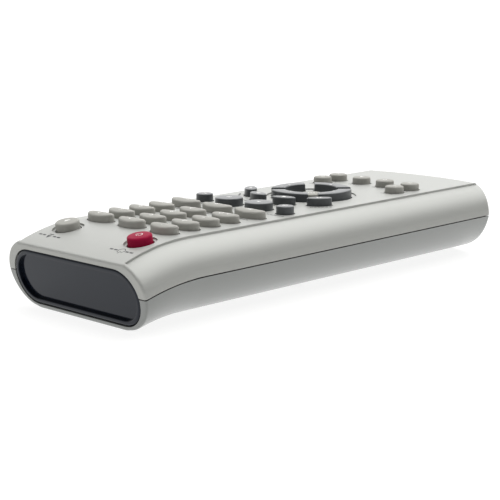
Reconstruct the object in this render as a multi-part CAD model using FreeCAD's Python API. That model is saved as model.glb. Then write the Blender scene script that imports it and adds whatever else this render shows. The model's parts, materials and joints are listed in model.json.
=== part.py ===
import FreeCAD, Part
import math
import os
from FreeCAD import Vector

# DVD player remote control, millimetres. Y runs along the body, nose (infrared window) at -Y.
# X runs across it, Z is up, and the origin is under the middle of the body, on the table.

# Body
body_length = 151.0
body_width = 56.6
deck_height = 22.3
seam_height = 12.7
deck_width = 43.0
shoulder_turn = 67.0
floor_width = 21.4
floor_edge_radius = 10.0
floor_edge_turn = 16.0
floor_slope_run = 4.2
tail_bulge = 4.5
tail_edge_radius = 1.2
deck_margin = 0.45
step_height = 0.6
shoulder_overrun = 0.03
side_wall = 1.8
deck_wall = 1.8
tail_wall = 2.0
front_wall = 5.0

# Nose, which bends down to the window
nose_length = 22.25
nose_deck_drop = 4.2
nose_seam_drop = 2.9
nose_floor_width = 34.5
nose_floor_edge_radius = 6.0
nose_floor_slope_run = 0.3
face_tilt = 13.0
face_edge_radius = 0.6
bezel_width = 1.0
nose_stations = 6
face_edge_steps = 3

# Joint between the two shells
seam_gap = 0.2
seam_reveal = 0.1
lip_height = 1.2
lip_clearance = 0.1
outer_lip_wall = 0.9

# Keys: how far each row's centre lies from the nose end
nose_key_row = 11.95
number_row_1 = 21.85
number_row_pitch = 7.42
trio_row = 53.55
play_row = 64.15
ring_row = 93.15
outer_pair_row = 114.85
tail_row = 122.45

# Keys: spacing across the body
column_pitch = 13.0
nose_key_spacing = 29.7
play_spacing = 12.1
skip_spacing = 32.8
tail_outer_spacing = 29.4
tail_inner_spacing = 9.6

# Keys: outlines and heights above the deck
number_length = 9.6
number_width = 5.1
trio_length = 11.2
light_height = 2.25
nose_key_diameter = 6.7
nose_key_height = 2.6
nose_recess_diameter = 8.9
nose_recess_depth = 0.6
play_diameter = 8.2
skip_diameter = 5.1
dark_height = 2.3
tail_key_diameter = 5.8
tail_key_height = 2.1
oval_length = 7.4
oval_width = 3.9
oval_orbit = 18.4
oval_inner_angle = 16.5
oval_outer_angle = 49.5
ring_outer_diameter = 24.4
ring_inner_diameter = 16.0
ring_gap = 2.9
ring_recess_diameter = 27.2
ring_recess_depth = 0.35
enter_diameter = 7.0
enter_height = 0.8
soft_edge_radius = 0.6
crisp_edge_radius = 0.45

# Keys: how they are held and how far they travel
key_clearance = 0.3
key_travel = 0.9
flange_reach = 0.6
flange_thickness = 0.8
flange_gap = 0.15
plunger_inset = 1.1
plunger_length = 1.7
nose_plunger_length = 0.6
dome_gap = 0.1

# Circuit board and keypad
board_height = 14.0
board_thickness = 1.2
board_width = 48.0
board_start = 8.5
board_end = 128.5
board_corner = 2.0
sheet_thickness = 0.8
sheet_margin = 0.8
dome_reach = 0.5
pill_thickness = 0.3
pill_gap = 0.3
pill_inset = 0.35

# Infrared window and its light source
window_width = 51.4
window_height = 15.9
window_centre = 8.85
window_rim = 1.4
window_recess = 1.05
window_depth = 4.6
window_clearance = 0.12
window_edge_radius = 0.8
window_inner_radius = 0.2
led_diameter = 5.0
led_length = 8.6
led_flange_diameter = 5.8
led_flange_length = 1.0
led_start = 8.2
led_height = 9.0
lead_thickness = 0.5
lead_spacing = 2.54
lead_run = 2.0

# Cells and their tray
cell_diameter = 10.5
cell_length = 44.5
cell_nub_diameter = 3.8
cell_nub_length = 1.0
cell_clearance = 0.25
tray_start = 91.5
tray_wall = 1.2
plate_thickness = 0.5
plate_width = 8.0
plate_height = 9.0
spring_room = 5.0
spring_diameter = 6.4
spring_tip_diameter = 4.0
spring_end_gap = 0.1
tab_width = 2.0

# Battery door
door_start = 86.5
door_width = 25.0
door_thickness = 2.1
door_clearance = 0.15
door_lift = 0.1
tongue_reach = 0.8
tongue_height = 0.6
tongue_level = 1.45
ledge_thickness = 1.0
ledge_reach = 1.6
grip_count = 5
grip_pitch = 2.2
grip_width = 1.0
grip_depth = 0.45
grip_length = 12.0
grip_row = 134.5

# Case screws
screw_offset = 13.0
screw_row = 72.0
screw_diameter = 2.4
screw_head_diameter = 4.4
screw_head_height = 1.6
screw_engagement = 3.2
screw_slot_width = 0.7
screw_slot_depth = 0.7
boss_diameter = 6.2
boss_seat = 6.0
screw_clearance = 0.1
post_diameter = 3.8
board_post_diameter = 3.2
board_post_offset = 18.0
board_post_rows = (17.0, 84.0)

# Parts on the underside of the board: centre across, distance from the nose end, sizes
chip_size = (17.9, 7.5, 2.3)
chip_place = (0.0, 35.0)
chip_legs = 14
chip_leg_pitch = 1.27
chip_leg_width = 0.42
chip_leg_reach = 1.3
chip_mark_diameter = 1.2
chip_mark_depth = 0.2
chip_mark_inset = 1.6
resonator_size = (7.0, 3.0, 5.0)
resonator_place = (-3.0, 46.0)
resonator_corner = 1.2
capacitor_diameter = 6.3
capacitor_length = 11.0
capacitor_place = (-14.0, 31.0)
transistor_diameter = 4.6
transistor_length = 4.6
transistor_flat = 1.2
transistor_place = (9.0, 25.0)
resistor_size = (2.0, 1.25, 0.55)
resistor_start = (13.0, 35.0)
resistor_pitch = 3.4
resistor_count = 6

# Sizes worked out from the ones above
nose_end = -body_length / 2.0
nose_start = nose_end + nose_length
tail_end = body_length / 2.0
half_width = body_width / 2.0
nose_radius = (nose_length ** 2 + nose_deck_drop ** 2) / (2.0 * nose_deck_drop)
ledge_height = door_thickness + door_lift
tray_half = cell_diameter + 1.5 * cell_clearance
tray_length = cell_length + 2.0 * plate_thickness + spring_room
board_top = board_height + board_thickness
sheet_top = board_top + sheet_thickness

# How far a cut runs past the surface that it opens, and a size past every edge of the body
spare = 1.0
reach = body_length

made = {}


def row(distance):
    """Y of a line at this distance from the nose end."""
    return nose_end + distance


def keep(name, shape):
    """Store one node's shape."""
    made[name] = shape


def solid_of(shape):
    """Tidy a boolean result and make sure it is a solid or a group of them."""
    clean = shape.removeSplitter()
    if len(clean.Solids) == 1:
        return clean.Solids[0]
    return Part.makeCompound(clean.Solids)


def box(x0, x1, y0, y1, z0, z1):
    return Part.makeBox(x1 - x0, y1 - y0, z1 - z0, Vector(x0, y0, z0))


def cylinder(diameter, height, place, direction=Vector(0, 0, 1)):
    return Part.makeCylinder(diameter / 2.0, height, place, direction)


def deck_drop(depth):
    """How far the deck has bent down at this depth into the nose."""
    return nose_radius - math.sqrt(nose_radius ** 2 - depth ** 2)


def deck_slope(depth):
    """Slope of the deck, in degrees, at this depth into the nose."""
    return math.degrees(math.asin(depth / nose_radius))


def bent_height(z, depth):
    """The height at which the nose holds a point of the straight section at this depth."""
    drop = deck_drop(depth)
    seam = seam_height - drop * nose_seam_drop / nose_deck_drop
    if z < seam_height:
        return z * seam / seam_height
    rise = (deck_height - drop - seam) / (deck_height - seam_height)
    return seam + (z - seam_height) * rise


def bent(x, z, depth):
    """A point of the straight section, moved to where the nose holds it at this depth."""
    height = bent_height(z, depth)
    lean = math.tan(math.radians(face_tilt * depth / nose_length))
    brow = bent_height(deck_height - face_edge_radius, depth)
    return Vector(x, nose_start - depth + lean * (brow - height), height)


def floor_shape(depth):
    """Half the flat floor's width, the radius beside it and the run of the slope beyond."""
    share = deck_drop(depth) / nose_deck_drop
    width = floor_width + (nose_floor_width - floor_width) * share
    radius = floor_edge_radius + (nose_floor_edge_radius - floor_edge_radius) * share
    run = floor_slope_run + (nose_floor_slope_run - floor_slope_run) * share
    return width / 2.0, radius, run


def arc_points(centre, radius, start, end):
    """Start, middle and end of an arc in the section, between two angles in radians."""
    return [(centre[0] + radius * math.cos(angle), centre[1] + radius * math.sin(angle))
            for angle in (start, (start + end) / 2.0, end)]


def section_edges(depth, inset, top_inset):
    """One side of the section from the deck down: arcs of three points, the slope of two."""
    top = deck_height - top_inset
    corner = deck_width / 2.0 + deck_margin
    run = half_width - corner
    rise = deck_height - seam_height
    half_turn = math.radians(shoulder_turn) / 2.0
    radius = math.hypot(run, rise) / (2.0 * math.sin(half_turn))
    setback = 1.0 / (2.0 * math.tan(half_turn))
    centre = ((half_width + corner) / 2.0 - rise * setback,
              (deck_height + seam_height) / 2.0 - run * setback)
    inner = radius - inset
    high = math.asin((top - centre[1]) / inner)
    low = math.asin((seam_height - centre[1]) / inner)
    shoulder = arc_points(centre, inner, high, low)
    half, hem_radius, slope_run = floor_shape(depth)
    turn = math.radians(floor_edge_turn)
    foot = (half + hem_radius * math.sin(turn) + slope_run * math.cos(turn),
            hem_radius * (1.0 - math.cos(turn)) + slope_run * math.sin(turn))
    across = half_width - foot[0]
    upward = seam_height - foot[1]
    belly_radius = ((across ** 2 + upward ** 2) /
                    (2.0 * (upward * math.cos(turn) - across * math.sin(turn))))
    belly_centre = (foot[0] - belly_radius * math.sin(turn),
                    foot[1] + belly_radius * math.cos(turn))
    start = math.asin((seam_height - belly_centre[1]) / (belly_radius - inset))
    downward = -math.pi / 2.0
    belly = arc_points(belly_centre, belly_radius - inset, start, downward + turn)
    hem = arc_points((half, hem_radius), hem_radius - inset, downward + turn, downward)
    return [shoulder[:2] + belly[:1], belly, [belly[2], hem[0]], hem]


def section_wire(depth, inset=0.0, top_inset=0.0):
    """The body's closed outline at this depth into the nose; depth 0 is the straight part."""
    side = section_edges(depth, inset, top_inset)
    right = [[bent(x, z, depth) for x, z in run] for run in side]
    left = [[bent(-x, z, depth) for x, z in reversed(run)] for run in reversed(side)]
    floor = [right[-1][-1], left[0][0]]
    deck = [left[-1][-1], right[0][0]]
    edges = [Part.Arc(*run) if len(run) == 3 else Part.LineSegment(*run)
             for run in right + [floor] + left + [deck]]
    return Part.Wire([edge.toShape() for edge in edges])


def quad_wire(depth, half, low, high):
    """A rectangle of the section, from height low to high, at this depth into the nose."""
    corners = [bent(-half, low, depth), bent(half, low, depth),
               bent(half, high, depth), bent(-half, high, depth)]
    return Part.makePolygon(corners + corners[:1])


def step_wire(depth, side):
    """What is cut away beside the deck: its edge, and the rounder shoulder at its foot."""
    edge = deck_width / 2.0
    foot = deck_height - step_height - seam_height
    limit = half_width + shoulder_overrun
    middle = (limit ** 2 - edge ** 2 - foot ** 2) / (2.0 * (limit - edge))
    radius = limit - middle
    arc = arc_points((middle, seam_height), radius, math.asin(spare / radius),
                     math.asin(foot / radius))
    rise = arc[0][1]
    arc = [bent(side * x, z, depth) for x, z in arc]
    corners = [arc[-1], bent(side * edge, deck_height + spare, depth),
               bent(side * (half_width + spare), deck_height + spare, depth),
               bent(side * (half_width + spare), rise, depth), arc[0]]
    edges = [Part.LineSegment(start, end) for start, end in zip(corners, corners[1:])]
    return Part.Wire([edge.toShape() for edge in [Part.Arc(*arc)] + edges])


def along_body(wire_at, front, tail):
    """Solid that follows the body: bent in the nose up to depth front, straight to y = tail."""
    straight = Part.Face(wire_at(0.0)).extrude(Vector(0, tail - nose_start, 0))
    depths = [front * step / (nose_stations - 1.0) for step in range(nose_stations)]
    nose = Part.makeLoft([wire_at(depth) for depth in depths], True, False)
    return straight.fuse(nose)


def tail_trim(inset):
    """Everything ahead of the bowed tail end, moved in by inset."""
    radius = (half_width ** 2 + tail_bulge ** 2) / (2.0 * tail_bulge)
    centre = Vector(0, tail_end - radius, -reach)
    round_end = Part.makeCylinder(radius - inset, 2 * reach, centre)
    ahead = box(-reach, reach, -reach, tail_end - 2.0 * tail_bulge - inset, -reach, reach)
    return round_end.fuse(ahead)


def body_block(inset, top_inset, front_inset, tail_inset):
    """The whole body's outer form, moved in by the insets given."""
    def wire_at(depth):
        return section_wire(depth, inset, top_inset)

    block = along_body(wire_at, nose_length - front_inset, tail_end)
    return block.common(tail_trim(tail_inset)).removeSplitter()


def face_edge():
    """The last slice of the nose, rounded over towards the front face."""
    wires = []
    for step in range(face_edge_steps + 1):
        angle = math.pi / 2.0 * step / face_edge_steps
        inset = face_edge_radius * (1.0 - math.cos(angle))
        depth = nose_length - face_edge_radius * (1.0 - math.sin(angle))
        wires.append(section_wire(depth, inset, inset))
    return Part.makeLoft(wires, True, True)


def outer_block():
    """The outer form with its rounded tail edge and front edge."""
    block = body_block(0.0, 0.0, face_edge_radius, 0.0)
    edges = [edge for edge in block.Edges
             if edge.BoundBox.YMin > tail_end - tail_bulge - spare and edge.Length > spare]
    block = block.makeFillet(tail_edge_radius, edges)
    return block.fuse(face_edge()).removeSplitter()


def slab(low, high):
    """A slice of space between two heights, which follows the nose."""
    def wire_at(depth):
        return quad_wire(depth, reach / 2.0, low, high)

    return along_body(wire_at, nose_length, reach)


def face_frame():
    """Origin at the front face's foot, with its up and inward directions."""
    foot = bent(0.0, 0.0, nose_length)
    tilt = math.radians(face_tilt)
    up = Vector(0, -math.sin(tilt), math.cos(tilt))
    inward = Vector(0, math.cos(tilt), math.sin(tilt))
    return foot, up, inward


def stadium(width, height, start, depth):
    """A stadium prism square to the front face, from start to start + depth inside it."""
    foot, up, inward = face_frame()
    centre = foot + up * (window_centre / math.cos(math.radians(face_tilt))) + inward * start
    across = Vector(1, 0, 0)
    run = (width - height) / 2.0
    radius = height / 2.0
    right_top = centre + across * run + up * radius
    right_low = centre + across * run - up * radius
    left_top = centre - across * run + up * radius
    left_low = centre - across * run - up * radius
    wire = Part.Wire([
        Part.LineSegment(left_top, right_top).toShape(),
        Part.Arc(right_top, centre + across * (run + radius), right_low).toShape(),
        Part.LineSegment(right_low, left_low).toShape(),
        Part.Arc(left_low, centre - across * (run + radius), left_top).toShape(),
    ])
    return Part.Face(wire).extrude(inward * depth)


# Keys. Each outline is a function of how far it grows, so that caps, holes and domes agree.
def oval(x, y, length, width, turn=0.0):
    def outline(grow, base, height):
        major = length / 2.0 + grow
        minor = width / 2.0 + grow
        if major - minor < 1e-6:
            return Part.makeCylinder(major, height, Vector(x, y, base))
        ellipse = Part.Ellipse(Vector(0, 0, 0), major, minor)
        prism = Part.Face(Part.Wire(ellipse.toShape())).extrude(Vector(0, 0, height))
        prism.rotate(Vector(0, 0, 0), Vector(0, 0, 1), turn)
        prism.translate(Vector(x, y, base))
        return prism
    return outline


def ring_segment(x, y, facing):
    """A quarter of the ring, centred on the direction facing, with straight gaps at its ends."""
    def outline(grow, base, height):
        centre = Vector(x, y, base)
        outer = Part.makeCylinder(ring_outer_diameter / 2.0 + grow, height, centre)
        inner = Part.makeCylinder(ring_inner_diameter / 2.0 - grow, height, centre)
        side = ring_outer_diameter
        corner = (ring_gap / 2.0 - grow) * math.sqrt(2.0)
        tip = Vector(corner, 0, 0)
        wedge = Part.Face(Part.makePolygon([tip, Vector(side, side - corner, 0),
                                            Vector(side, corner - side, 0), tip]))
        wedge = wedge.extrude(Vector(0, 0, height))
        wedge.rotate(Vector(0, 0, 0), Vector(0, 0, 1), facing)
        wedge.translate(centre)
        return outer.cut(inner).common(wedge)
    return outline


def key_list():
    """Every deck key: name, outline, height and edge radius. The user's left is at +X."""
    keys = []
    for line in range(4):
        for column in range(3):
            name = "number_key_%d_%d" % (line + 1, column + 1)
            x = (1 - column) * column_pitch
            y = row(number_row_1 + line * number_row_pitch)
            outline = oval(x, y, number_length, number_width)
            keys.append((name, outline, light_height, soft_edge_radius))
    for column in range(3):
        x = (1 - column) * column_pitch
        outline = oval(x, row(trio_row), trio_length, number_width)
        keys.append(("menu_key_%d" % (column + 1), outline, light_height, soft_edge_radius))
    for name, x, diameter in (("skip_back_key", skip_spacing / 2.0, skip_diameter),
                              ("play_key", play_spacing / 2.0, play_diameter),
                              ("pause_key", -play_spacing / 2.0, play_diameter),
                              ("skip_forward_key", -skip_spacing / 2.0, skip_diameter)):
        outline = oval(x, row(play_row), diameter, diameter)
        keys.append((name, outline, dark_height, crisp_edge_radius))
    for name, angle in (("search_back_key", oval_outer_angle), ("stop_key", oval_inner_angle),
                        ("step_key", -oval_inner_angle),
                        ("search_forward_key", -oval_outer_angle)):
        x = oval_orbit * math.sin(math.radians(angle))
        y = row(ring_row) - oval_orbit * math.cos(math.radians(angle))
        outline = oval(x, y, oval_length, oval_width, angle)
        keys.append((name, outline, dark_height, crisp_edge_radius))
    for name, facing in (("up_key", -90.0), ("down_key", 90.0),
                         ("left_key", 0.0), ("right_key", 180.0)):
        outline = ring_segment(0.0, row(ring_row), facing)
        keys.append((name, outline, dark_height, crisp_edge_radius))
    outline = oval(0.0, row(ring_row), enter_diameter, enter_diameter)
    keys.append(("enter_key", outline, enter_height, crisp_edge_radius))
    for name, x, y in (("tail_key_1", tail_outer_spacing / 2.0, outer_pair_row),
                       ("tail_key_2", -tail_outer_spacing / 2.0, outer_pair_row),
                       ("tail_key_3", tail_outer_spacing / 2.0, tail_row),
                       ("tail_key_4", tail_inner_spacing / 2.0, tail_row),
                       ("tail_key_5", -tail_inner_spacing / 2.0, tail_row),
                       ("tail_key_6", -tail_outer_spacing / 2.0, tail_row)):
        outline = oval(x, row(y), tail_key_diameter, tail_key_diameter)
        keys.append((name, outline, tail_key_height, soft_edge_radius))
    return keys


def soften_top(solid, top, radius):
    """Round the edge round the top face of a key."""
    edges = [edge for edge in solid.Edges
             if edge.BoundBox.ZMin > top - 1e-4 and edge.Length > radius]
    return solid.makeFillet(radius, edges)


def make_key(outline, height, edge_radius):
    """A key cap with the flange that holds it under the deck and the plunger that it presses."""
    base = deck_height - deck_wall - flange_gap - flange_thickness
    middle = base + flange_thickness / 2.0
    cap = outline(0.0, middle, deck_height + height - middle)
    cap = soften_top(cap, deck_height + height, edge_radius)
    flange = outline(flange_reach, base, flange_thickness)
    plunger = outline(-plunger_inset, base - plunger_length,
                      plunger_length + flange_thickness / 2.0)
    return solid_of(cap.fuse(flange).fuse(plunger))


def nose_key_frame(side):
    """Place and turn of a nose key, which stands square to the sloping deck."""
    depth = nose_length - nose_key_row
    surface = bent(side * nose_key_spacing / 2.0, deck_height, depth)
    return surface, deck_slope(depth)


def on_nose(shape, side):
    """Move a shape made at the origin, with its top at the deck, on to the sloping nose."""
    place, slope = nose_key_frame(side)
    shape.rotate(Vector(0, 0, 0), Vector(1, 0, 0), slope)
    shape.translate(place)
    return shape


def make_nose_key(side, edge_radius):
    base = -deck_wall - flange_gap - flange_thickness
    top = nose_key_height - nose_recess_depth
    cap = cylinder(nose_key_diameter, top - base, Vector(0, 0, base))
    cap = soften_top(cap, top, edge_radius)
    flange = cylinder(nose_key_diameter + 2 * flange_reach, flange_thickness,
                      Vector(0, 0, base))
    plunger = cylinder(nose_key_diameter - 2 * plunger_inset, nose_plunger_length,
                       Vector(0, 0, base - nose_plunger_length))
    return on_nose(solid_of(cap.fuse(flange).fuse(plunger)), side)


def make_keys():
    for name, outline, height, edge_radius in key_list():
        keep(name, make_key(outline, height, edge_radius))
    keep("open_key", make_nose_key(-1, soft_edge_radius))
    keep("power_key", make_nose_key(1, crisp_edge_radius))


def screw_places():
    return [(side * screw_offset, row(screw_row)) for side in (-1, 1)]


# Shells
def cavity():
    """The hollow inside both shells."""
    return body_block(side_wall, deck_wall, front_wall, tail_wall)


def lip_block(thickness):
    """The body moved in by the outer part of its wall, where the two shells' lips meet."""
    inner_part = side_wall - thickness
    return body_block(thickness, deck_wall, front_wall - inner_part, tail_wall - inner_part)


def upper_shell(outer, hollow):
    low = seam_height + seam_gap / 2.0 + seam_reveal
    shell = outer.common(slab(low, deck_height + spare)).cut(hollow)
    rebate = slab(seam_height - seam_gap, seam_height + lip_height + seam_gap)
    shell = shell.cut(lip_block(outer_lip_wall).common(rebate))
    for side in (-1, 1):
        step = along_body(lambda depth: step_wire(depth, side), nose_length - bezel_width, reach)
        shell = shell.cut(step)
    underside = deck_height - deck_wall
    for name, outline, height, edge_radius in key_list():
        shell = shell.cut(outline(key_clearance, underside - spare, deck_wall + 2 * spare))
    recess = cylinder(ring_recess_diameter, deck_wall,
                      Vector(0, row(ring_row), deck_height - ring_recess_depth))
    shell = shell.cut(recess)
    for side in (-1, 1):
        hole = cylinder(nose_key_diameter + 2 * key_clearance, 2 * (deck_wall + spare),
                        Vector(0, 0, -deck_wall - spare))
        dish = cylinder(nose_recess_diameter, deck_wall, Vector(0, 0, -nose_recess_depth))
        shell = shell.cut(on_nose(hole.fuse(dish), side))
    shell = shell.cut(window_hole())
    for x, y in screw_places():
        foot = Vector(x, y, board_top)
        post = cylinder(post_diameter, deck_height - deck_wall / 2.0 - board_top, foot)
        hole = cylinder(screw_diameter + 2 * screw_clearance, screw_engagement, foot)
        shell = shell.fuse(post.common(outer)).cut(hole)
    return solid_of(shell)


def lower_shell(outer, hollow):
    shell = outer.common(slab(-spare, seam_height - seam_gap / 2.0)).cut(hollow)
    lip = lip_block(outer_lip_wall + lip_clearance).cut(hollow)
    shell = shell.fuse(lip.common(slab(seam_height - side_wall, seam_height + lip_height)))
    for x, y in screw_places():
        boss = cylinder(boss_diameter, board_height, Vector(x, y, 0))
        shell = shell.fuse(boss.common(outer))
    for distance in board_post_rows:
        for side in (-1, 1):
            post = cylinder(board_post_diameter, board_height,
                            Vector(side * board_post_offset, row(distance), 0))
            shell = shell.fuse(post.common(outer))
    for x, y in screw_places():
        bore = cylinder(screw_diameter + 2 * screw_clearance, reach, Vector(x, y, 0))
        counterbore = cylinder(screw_head_diameter + 2 * screw_clearance, boss_seat + spare,
                               Vector(x, y, -spare))
        shell = shell.cut(bore).cut(counterbore)
    start = row(tray_start)
    end = start + tray_length
    wide = tray_half + tray_wall
    tray = box(-wide, wide, start - tray_wall, end + tray_wall, ledge_height, board_height)
    slot_half = door_width / 2.0 + door_clearance
    groove_half = slot_half + tongue_reach
    ledge = box(-groove_half - ledge_reach, groove_half + ledge_reach,
                row(door_start) - ledge_reach, tail_end, 0.0, ledge_height + ledge_thickness)
    shell = shell.fuse(tray).fuse(ledge.common(outer))
    shell = shell.cut(box(-tray_half, tray_half, start, end, -spare, reach))
    slot_start = row(door_start) - door_clearance
    shell = shell.cut(box(-slot_half, slot_half, slot_start, reach, -spare, ledge_height))
    shell = shell.cut(box(-groove_half, groove_half, slot_start, reach,
                          tongue_level - tongue_height / 2.0 - door_lift,
                          tongue_level + tongue_height / 2.0 + door_lift))
    return solid_of(shell.cut(window_hole()))


def battery_door(outer):
    half = door_width / 2.0
    plate = box(-half, half, row(door_start), reach, 0.0, door_thickness)
    tongues = box(-half - tongue_reach, half + tongue_reach, row(door_start), reach,
                  tongue_level - tongue_height / 2.0, tongue_level + tongue_height / 2.0)
    door = plate.fuse(tongues).common(outer)
    for number in range(grip_count):
        y = row(grip_row) + number * grip_pitch
        door = door.cut(box(-grip_length / 2.0, grip_length / 2.0, y, y + grip_width,
                            -spare, grip_depth))
    return solid_of(door)


def window_hole():
    """The opening in both shells that the window fills."""
    return stadium(window_width, window_height, -spare, front_wall + 2 * spare)


def ir_window():
    """Tray-shaped plug of dark filter plastic, with its face set back behind a raised rim."""
    foot, up, inward = face_frame()

    def front_edges(solid):
        return [edge for edge in solid.Edges
                if max((vertex.Point - foot).dot(inward) for vertex in edge.Vertexes) < 1e-4]

    gap = 2 * window_clearance
    plug = stadium(window_width - gap, window_height - gap, 0.0, window_depth)
    plug = plug.makeFillet(window_edge_radius, front_edges(plug))
    rim = gap + 2 * window_rim
    plug = plug.cut(stadium(window_width - rim, window_height - rim,
                            -spare, window_recess + spare))
    top = max((vertex.Point - foot).dot(up) for vertex in plug.Vertexes) - window_rim
    inner = [edge for edge in front_edges(plug)
             if max((vertex.Point - foot).dot(up) for vertex in edge.Vertexes) < top + 1e-4]
    low = 2.0 * window_centre / math.cos(math.radians(face_tilt)) - top
    inner = [edge for edge in inner
             if min((vertex.Point - foot).dot(up) for vertex in edge.Vertexes) > low - 1e-4]
    return plug.makeFillet(window_inner_radius, inner)


# Inside
def ir_led():
    y = row(led_start)
    forward = Vector(0, 1, 0)
    radius = led_diameter / 2.0
    centre = Vector(0, y + radius, led_height)
    dome = Part.makeSphere(radius, centre)
    barrel = cylinder(led_diameter, led_length - radius, centre, forward)
    flange_at = Vector(0, y + led_length - led_flange_length, led_height)
    body = dome.fuse(barrel).fuse(cylinder(led_flange_diameter, led_flange_length,
                                           flange_at, forward))
    back = y + led_length
    thick = lead_thickness / 2.0
    for side in (-1, 1):
        x = side * lead_spacing / 2.0
        along = box(x - thick, x + thick, back - thick, back + lead_run + thick,
                    led_height - thick, led_height + thick)
        upright = box(x - thick, x + thick, back + lead_run - thick, back + lead_run + thick,
                      led_height - thick, board_height)
        body = body.fuse(along).fuse(upright)
    return solid_of(body)


def circuit_board():
    half = board_width / 2.0
    board = box(-half, half, row(board_start), row(board_end), board_height, board_top)
    uprights = [edge for edge in board.Edges if edge.BoundBox.ZLength > board_thickness / 2.0]
    board = board.makeFillet(board_corner, uprights)
    for x, y in screw_places():
        board = board.cut(cylinder(screw_diameter + 4 * screw_clearance, reach, Vector(x, y, 0)))
    return solid_of(board)


def dome_top():
    """Top of the domes under the deck's keys, just clear of a pressed key."""
    held = deck_wall + flange_gap + flange_thickness + plunger_length
    return deck_height - held - key_travel - dome_gap


def nose_dome(side):
    """Centre and top of the dome under a nose key."""
    place, slope = nose_key_frame(side)
    lean = math.radians(slope)
    drop = deck_wall + flange_gap + flange_thickness + nose_plunger_length
    centre = place - Vector(0, -math.sin(lean), math.cos(lean)) * drop
    edge = (nose_key_diameter / 2.0 - plunger_inset) * math.sin(lean)
    return centre, centre.z - edge - key_travel - dome_gap


def keypad():
    half = board_width / 2.0 - sheet_margin
    sheet = box(-half, half, row(board_start + sheet_margin), row(board_end - sheet_margin),
                board_top, sheet_top)
    pills = []
    hollow_height = pill_thickness + pill_gap
    dome_base = board_top + sheet_thickness / 2.0
    for name, outline, height, edge_radius in key_list():
        sheet = sheet.fuse(outline(-plunger_inset + dome_reach, dome_base,
                                   dome_top() - dome_base))
        sheet = sheet.cut(outline(-plunger_inset, board_top, hollow_height))
        pills.append(outline(-plunger_inset - pill_inset, board_top + pill_gap, pill_thickness))
    for side in (-1, 1):
        centre, top = nose_dome(side)
        foot = Vector(centre.x, centre.y, dome_base)
        inner = nose_key_diameter - 2 * plunger_inset
        sheet = sheet.fuse(cylinder(inner + 2 * dome_reach, top - dome_base, foot))
        foot = Vector(centre.x, centre.y, board_top)
        sheet = sheet.cut(cylinder(inner, hollow_height, foot))
        pills.append(cylinder(inner - 2 * pill_inset, pill_thickness,
                              foot + Vector(0, 0, pill_gap)))
    for x, y in screw_places():
        sheet = sheet.cut(cylinder(post_diameter + 4 * screw_clearance, reach, Vector(x, y, 0)))
    keep("keypad_sheet", solid_of(sheet))
    keep("contact_pills", Part.makeCompound(pills))


def under_board(size, place):
    """A block that hangs from the underside of the board."""
    x, y = place[0], row(place[1])
    return box(x - size[0] / 2.0, x + size[0] / 2.0, y - size[1] / 2.0, y + size[1] / 2.0,
               board_height - size[2], board_height)


def control_chip():
    chip = under_board(chip_size, chip_place)
    body_bottom = board_height - chip_size[2]
    y = row(chip_place[1])
    for number in range(chip_legs):
        x = chip_place[0] + (number - (chip_legs - 1) / 2.0) * chip_leg_pitch
        half = chip_size[1] / 2.0 + chip_leg_reach
        leg = box(x - chip_leg_width / 2.0, x + chip_leg_width / 2.0, y - half, y + half,
                  board_height - chip_leg_width, board_height)
        chip = chip.fuse(leg)
    mark_x = chip_place[0] - chip_size[0] / 2.0 + chip_mark_inset
    mark = cylinder(chip_mark_diameter, chip_mark_depth, Vector(mark_x, y, body_bottom))
    return solid_of(chip.cut(mark))


def small_parts():
    resonator = under_board(resonator_size, resonator_place)
    uprights = [edge for edge in resonator.Edges
                if edge.BoundBox.ZLength > resonator_size[2] / 2.0]
    keep("ceramic_resonator", resonator.makeFillet(resonator_corner, uprights))
    x, y = capacitor_place[0], row(capacitor_place[1])
    z = board_height - capacitor_diameter / 2.0
    can = cylinder(capacitor_diameter, capacitor_length, Vector(x, y, z), Vector(0, 1, 0))
    keep("electrolytic_capacitor", can)
    x, y = transistor_place[0], row(transistor_place[1])
    z = board_height - transistor_diameter / 2.0
    can = cylinder(transistor_diameter, transistor_length, Vector(x, y, z), Vector(0, 1, 0))
    flat = box(x - transistor_diameter, x + transistor_diameter, y - spare,
               y + transistor_length + spare, z - transistor_diameter, z - transistor_flat)
    keep("transistor", solid_of(can.cut(flat)))
    chips = []
    for number in range(resistor_count):
        place = (resistor_start[0], resistor_start[1] + number * resistor_pitch)
        chips.append(under_board(resistor_size, place))
    keep("chip_resistors", Part.makeCompound(chips))


def cell_centre():
    """X offset and height of a cell's axis."""
    x = cell_diameter / 2.0 + cell_clearance / 2.0
    z = ledge_height + cell_clearance + cell_diameter / 2.0
    return x, z


def make_cell(side, nose_first):
    x, z = cell_centre()
    start = row(tray_start) + plate_thickness
    if not nose_first:
        start += spring_room
    length = cell_length - cell_nub_length
    can_start = start + cell_nub_length if nose_first else start
    forward = Vector(0, 1, 0)
    can = cylinder(cell_diameter, length, Vector(side * x, can_start, z), forward)
    whole = cylinder(cell_nub_diameter, cell_length, Vector(side * x, start, z), forward)
    return solid_of(can.fuse(whole))


def contact_plate(side, y):
    x, z = cell_centre()
    low = z - plate_height / 2.0
    return box(side * x - plate_width / 2.0, side * x + plate_width / 2.0,
               y, y + plate_thickness, low, low + plate_height)


def contact_tab(side, y):
    """The strip that joins a contact plate to the board."""
    x, z = cell_centre()
    return box(side * x - tab_width / 2.0, side * x + tab_width / 2.0,
               y, y + plate_thickness, z, board_height)


def contact_cone(side, y, direction):
    """The coiled contact that presses on a cell's flat end."""
    x, z = cell_centre()
    length = spring_room - spring_end_gap
    return Part.makeCone(spring_diameter / 2.0, spring_tip_diameter / 2.0, length,
                         Vector(side * x, y, z), Vector(0, direction, 0))


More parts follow.
